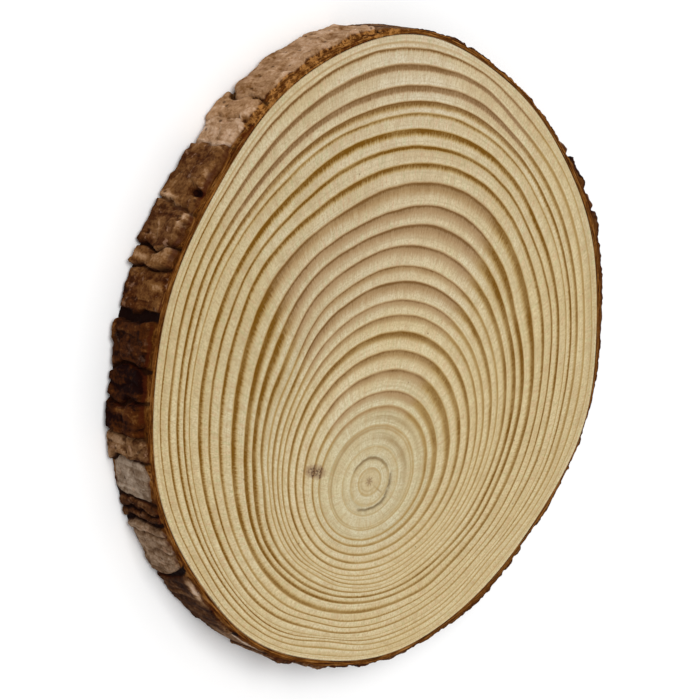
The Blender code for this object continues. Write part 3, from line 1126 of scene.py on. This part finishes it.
# Colours of the bark: the plates' and the inner bark's, from dark to light, each with its
# place on a ramp, and those that lie over them
PLATE_PLACES = (0, 0.25, 0.5, 0.75, 1)
BROWN_PLATES = ((26, 8, 2), (68, 36, 13), (110, 73, 38), (157, 120, 86), (197, 163, 135))
GREY_PLATES = ((28, 15, 8), (64, 47, 32), (106, 88, 72), (144, 128, 112), (178, 164, 150))
INNER_PLACES = (0.3, 0.48, 0.6, 0.74)
INNER_LAYERS = ((46, 21, 6), (96, 57, 20), (136, 89, 40), (176, 126, 72))
FLECKS = (170, 132, 106)
# Painted shade of tiny pits, as dark dots
HOLE_SHADE = (42, 20, 11)
NEXT_TO_WOOD = (62, 34, 16)
FAR_OUT = (56, 26, 9)
DIM_SIDES = (58, 26, 10)
PALE_CRUMBS = (176, 122, 66)
DARK_CRUMBS = (72, 30, 8)
# Painted shade at the plates' feet
GAP_SHADE = (62, 26, 11)
# Painted shade deep in the furrows
FURROW_SHADE = (26, 12, 7)


def bark_finish():
    """Bark: plates from near black to tan or grey, paler on the rims of their scales with a
    painted highlight, layered red-brown inner bark where they have chipped, painted shade in the
    furrows, at the feet of plates and scales, in pits, creases and small dark dots, and a speckle."""
    finish = Finish("rough_bark")
    noise, attribute, smooth = finish.noise, finish.attribute, finish.smooth
    times, plus, scaled = finish.times, finish.plus, finish.scaled
    mix, tinted = finish.mix, finish.tinted
    place = finish.object_place()
    speckle = noise(place, 1000, 3, 0.7)
    patches = noise(place, 190, 4, 0.65)
    names = "rise", "outward", "light", "crumbly"
    rise, outward, light, crumbly = (attribute(name) for name in names)

    tone = scaled(patches, 0.8, plus(light, -0.77))
    tone = scaled(attribute("tone"), 0.24, tone)
    tone = scaled(attribute("fibre"), 0.13, tone)
    # Painted light and shade: raised scale rims lighter, their fresh flake colour with a painted
    # highlight, and their feet darker with painted shade
    tone = scaled(attribute("rim"), 0.08, tone)
    tone = scaled(speckle, 0.5, tone, clamp=True)
    brown = finish.ramp(tone, PLATE_PLACES, BROWN_PLATES)
    grey = finish.ramp(tone, PLATE_PLACES, GREY_PLATES)
    plates = mix(attribute("grey"), brown, grey)
    flecks = smooth(noise(place, 330, 3, 0.7), 0.58, 0.68)
    fleck_share = times(smooth(light, 0.1, 0.36), 0.35)
    plates = tinted(plates, flecks, fleck_share, FLECKS)
    # Dark dots painted as the shade inside tiny pits
    hole_shade = finish.dots(place, 420, (0.72, 0.8), (0.34, 0.16))
    plates = tinted(plates, hole_shade, 0.65, HOLE_SHADE)

    # Layers of inner bark, which run round the stem
    run = finish.node("SeparateXYZ", {0: finish.stretched(place, (110, 110, 160))})
    inputs = {axis: run.outputs[axis] for axis in "XY"}
    inputs["Z"] = scaled(outward, 2300, run.outputs["Z"])
    layers = finish.node("CombineXYZ", inputs).outputs[0]
    layers = plus(noise(layers, 1, 2, 0.6), -0.125)
    inner = finish.ramp(scaled(speckle, 0.25, layers), INNER_PLACES, INNER_LAYERS)
    inner = tinted(inner, smooth(outward, 0.0006, 0.0002), 0.3, NEXT_TO_WOOD)
    inner = tinted(inner, smooth(outward, 0.0016, 0.003), 0.6, FAR_OUT)
    dim = times(smooth(outward, 0.0004, 0.0013), attribute("dim"))
    inner = tinted(inner, dim, 0.55, DIM_SIDES)
    crust = scaled(smooth(outward, 0.0008, 0.002), 0.06, -0.02)
    crumbs = plus(noise(place, 380, 4, 0.75), crust)
    crumb_share = times(crumbly, 0.75)
    inner = tinted(inner, smooth(crumbs, 0.5, 0.64), crumb_share, PALE_CRUMBS)
    inner = tinted(inner, smooth(crumbs, 0.47, 0.36), crumb_share, DARK_CRUMBS)

    # Inner bark where the plates don't rise, and painted shade at their feet and in the furrows
    bounds = scaled(crumbly, 0.4, 0.36), scaled(crumbly, 0.3, 0.1)
    base = mix(smooth(rise, *bounds), plates, inner)
    # Painted shade where the plates rise from the inner bark
    gap_shade = times(smooth(rise, 0.8, 0.5), smooth(rise, 0.1, 0.3))
    gap_shade = times(gap_shade, finish.math("SUBTRACT", 1, crumbly))
    gap_shade = times(gap_shade, smooth(patches, 0.4, 0.56))
    base = tinted(base, gap_shade, 0.8, GAP_SHADE)
    # Painted shade: darker the deeper the furrow
    base = tinted(base, smooth(rise, 0.8, 0.25), attribute("furrow"), FURROW_SHADE)
    base = mix(times(attribute("sawn"), 0.9), base, inner)
    finish.surface(base, 0.92, 0.05)
    fine = noise(place, 2600, 2, 0.6)
    finish.bump(scaled(fine, 0.5, speckle), 0.0003, 0.9)
    return finish.material


FLOOR_REACH = 12.0
FLOOR_GAP = 0.0002


def make_floor():
    """A plain pale floor, a hair below the slice."""
    x, y = FLOOR_REACH * np.array([(-1, 1, 1, -1), (-1, -1, 1, 1)])
    points = np.stack([x, y, np.full(4, -FLOOR_GAP)], axis=-1)
    finish = Finish("pale_floor")
    finish.surface((1.0, 1.0, 1.0, 1.0), 0.9, 0.0)
    return new_mesh("floor", points, [(0, 1, 2, 3)], finish.material)


# The camera, as the photograph's perspective gives it: how far it stands to the left of and
# above the line out of the upper face, its distance from the middle of that face, how far
# that middle lies right of and above the middle of the picture, and its focal length
CAMERA_TURN = 43.839
CAMERA_LIFT = 13.995
CAMERA_DISTANCE = 0.6607
PICTURE_OFFSET = (0.01726, -0.00313)
FOCAL_PIXELS = 1900.0
PICTURE_PIXELS = 700.0
SENSOR_MM = 36.0


def make_camera():
    """The camera, with the slice's +Y upwards in the picture."""
    turn, lift = math.radians(CAMERA_TURN), math.radians(CAMERA_LIFT)
    level = math.cos(lift)
    outward = Vector((-math.sin(turn) * level, math.sin(lift), math.cos(turn) * level))
    right = (-outward).cross(Vector((0, 1, 0))).normalized()
    up = right.cross(-outward)
    aim = Vector((*MIDDLE, THICKNESS)) - PICTURE_OFFSET[0] * right - PICTURE_OFFSET[1] * up
    data = bpy.data.cameras.new("camera")
    data.sensor_width = SENSOR_MM
    data.lens = SENSOR_MM * FOCAL_PIXELS / PICTURE_PIXELS
    camera = new_object("camera", data)
    turned_axes = Matrix((right, up, outward)).transposed().to_4x4()
    camera.matrix_world = Matrix.Translation(aim + CAMERA_DISTANCE * outward) @ turned_axes
    bpy.context.scene.camera = camera


KEY_PLACE = (-1.0, 1.4, 2.6)
KEY_SIZE = 1.6
KEY_POWER = 62.0
FILL = 0.6


def make_studio():
    """Soft light from over the upper left of the slice, and an even white fill."""
    data = bpy.data.lights.new("key", "AREA")
    data.shape = "SQUARE"
    data.size = KEY_SIZE
    data.energy = KEY_POWER
    lamp = new_object("key", data)
    lamp.location = KEY_PLACE
    lamp.rotation_euler = Vector(KEY_PLACE).to_track_quat("Z", "Y").to_euler()
    world = bpy.data.worlds.new("studio")
    bpy.context.scene.world = world
    world.use_nodes = True
    background = world.node_tree.nodes["Background"]
    background.inputs["Color"].default_value = (1.0, 1.0, 1.0, 1.0)
    background.inputs["Strength"].default_value = FILL
    bpy.context.scene.view_settings.view_transform = "Standard"


def main():
    wood = make_wood(wood_finish())
    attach(wood, "root")
    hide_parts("wood")
    bark = make_bark(all_plates(), bark_finish())
    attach(bark, "root")
    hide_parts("bark")
    make_floor()
    make_camera()
    make_studio()


main()
